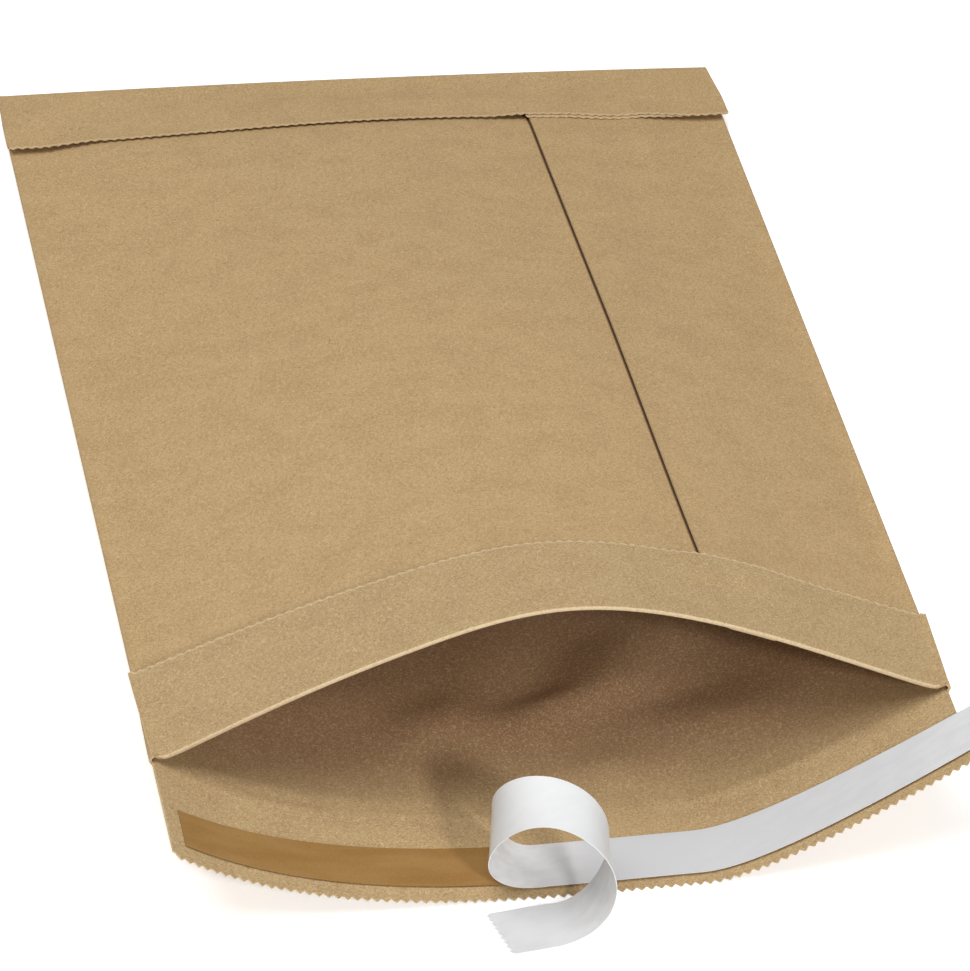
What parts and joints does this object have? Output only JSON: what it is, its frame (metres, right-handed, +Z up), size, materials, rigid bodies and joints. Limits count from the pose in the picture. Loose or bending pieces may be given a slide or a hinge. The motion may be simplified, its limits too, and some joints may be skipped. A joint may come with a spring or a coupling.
{
  "type": "padded envelope",
  "caption": "Kraft padded mailing envelope lying with its mouth open, with a folded cuff, a pinked sealing lip and a half-peeled release liner over its adhesive.",
  "frame": {"origin": "centre of the bounding box's bottom, on the surface the envelope lies on", "axes": "+X across the envelope to the side that the liner runs off, +Y from the mouth to the far hem, +Z up through the back panel"},
  "size_m": [0.2436, 0.433, 0.0677],
  "materials": {
    "kraft": "matt brown kraft paper with fine fibres, over loose paper padding",
    "adhesive": "tacky yellow-brown film",
    "liner": "smooth white coated release paper"
  },
  "bodies": {
    "root": {"envelope": "kraft", "adhesive_strip": "adhesive", "release_liner": "liner"}
  },
  "joints": []
}
